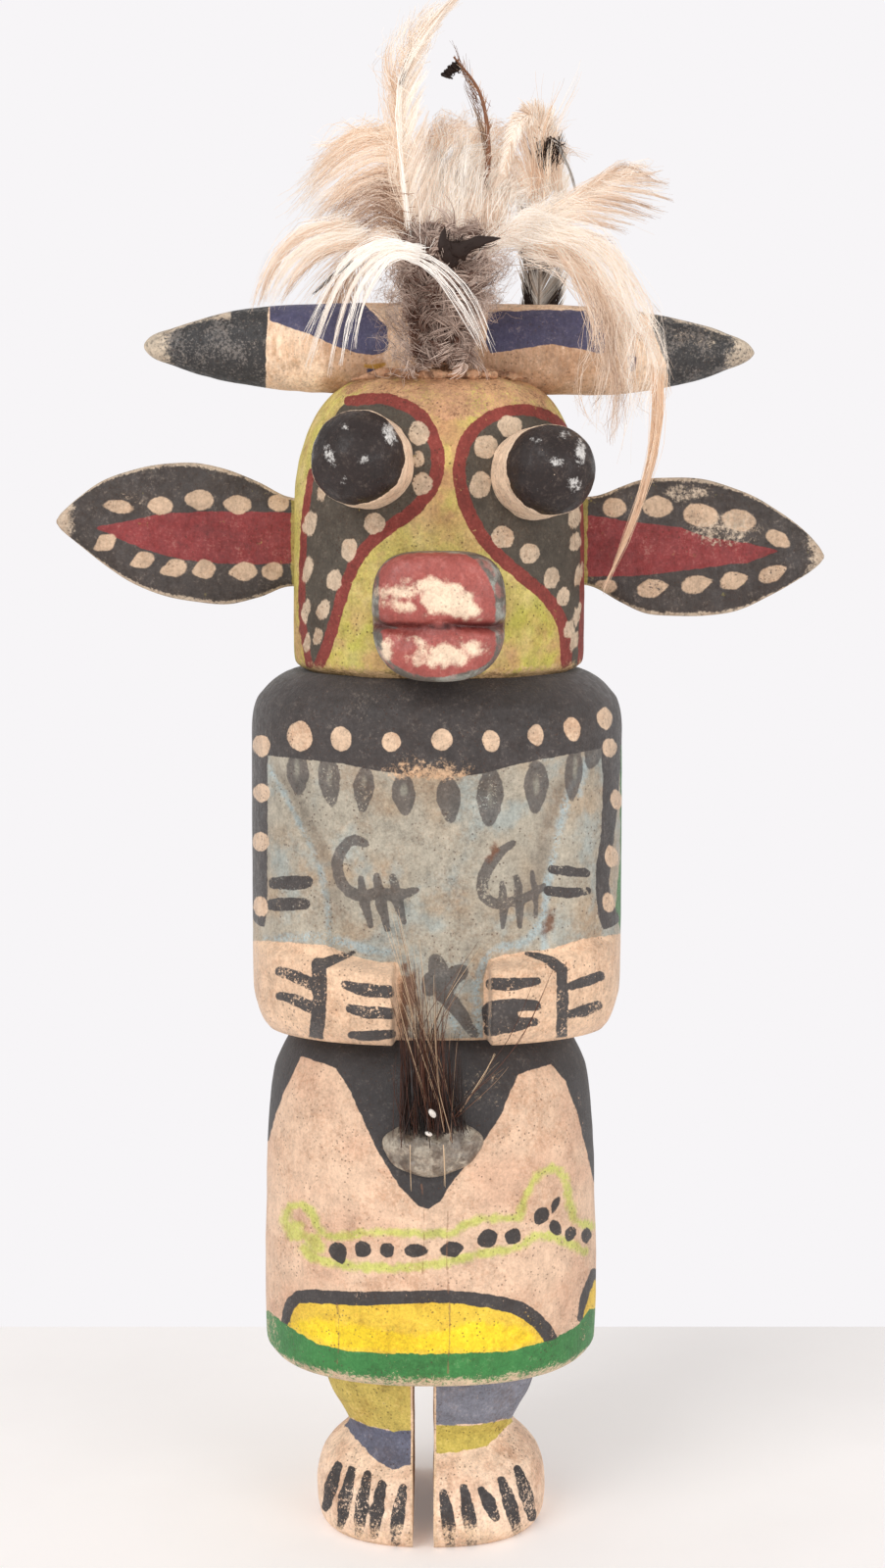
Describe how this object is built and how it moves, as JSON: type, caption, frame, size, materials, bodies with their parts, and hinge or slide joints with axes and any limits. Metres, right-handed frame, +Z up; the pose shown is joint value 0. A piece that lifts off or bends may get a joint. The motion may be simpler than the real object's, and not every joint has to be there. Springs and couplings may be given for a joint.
{
  "type": "kachina doll",
  "caption": "Standing carved and painted wooden doll with a horned, long-eared helmet head, peg eyes, block snout, kilt, feather crest and hair tuft.",
  "frame": {"origin": "on the floor under the middle of the doll's bounding box, which is on the body's axis", "axes": "+Z up, the face looks along -Y, +X is the viewer's right"},
  "size_m": [0.1827, 0.1098, 0.366],
  "materials": {
    "carved_body": "mineral paint over carved root wood, chalky, worn to bare wood at the edges",
    "horn_bar": "painted root wood, dark blue and black with bare tan wood",
    "ear_left": "black and red paint on a thin wood plate, worn edges",
    "ear_right": "black and red paint on a thin wood plate, worn edges",
    "eye_left": "black domed cap with small chips, cream base",
    "eye_right": "black domed cap with small chips, cream base",
    "snout": "red-brown paint worn to cream on the lips",
    "down_tuft": "fluffy grey-brown down",
    "hair_tuft": "dark brown horse hair",
    "glue_dab": "dried grey translucent glue, glossy in spots",
    "tall_white": "matte feather, loose barbs",
    "left_upper": "matte feather, loose barbs",
    "left_mid": "matte feather, loose barbs",
    "left_low": "matte feather, loose barbs",
    "arch_white": "matte feather, loose barbs",
    "right_spray": "matte feather, loose barbs",
    "long_droop": "matte feather, loose barbs",
    "short_droop": "matte feather, loose barbs",
    "brown_quill": "bare brown quill",
    "top_cream": "matte feather, loose barbs",
    "barred_strip": "matte feather, loose barbs",
    "black_small": "matte feather, loose barbs",
    "back_droop": "matte feather, loose barbs",
    "back_left": "matte feather, loose barbs"
  },
  "bodies": {
    "root": {"carved_body": "carved_body", "horn_bar": "horn_bar", "ear_left": "ear_left", "ear_right": "ear_right", "eye_left": "eye_left", "eye_right": "eye_right", "snout": "snout", "down_tuft": "down_tuft", "hair_tuft": "hair_tuft", "glue_dab": "glue_dab", "tall_white": "tall_white", "left_upper": "left_upper", "left_mid": "left_mid", "left_low": "left_low", "arch_white": "arch_white", "right_spray": "right_spray", "long_droop": "long_droop", "short_droop": "short_droop", "brown_quill": "brown_quill", "top_cream": "top_cream", "barred_strip": "barred_strip", "black_small": "black_small", "back_droop": "back_droop", "back_left": "back_left"}
  },
  "joints": []
}
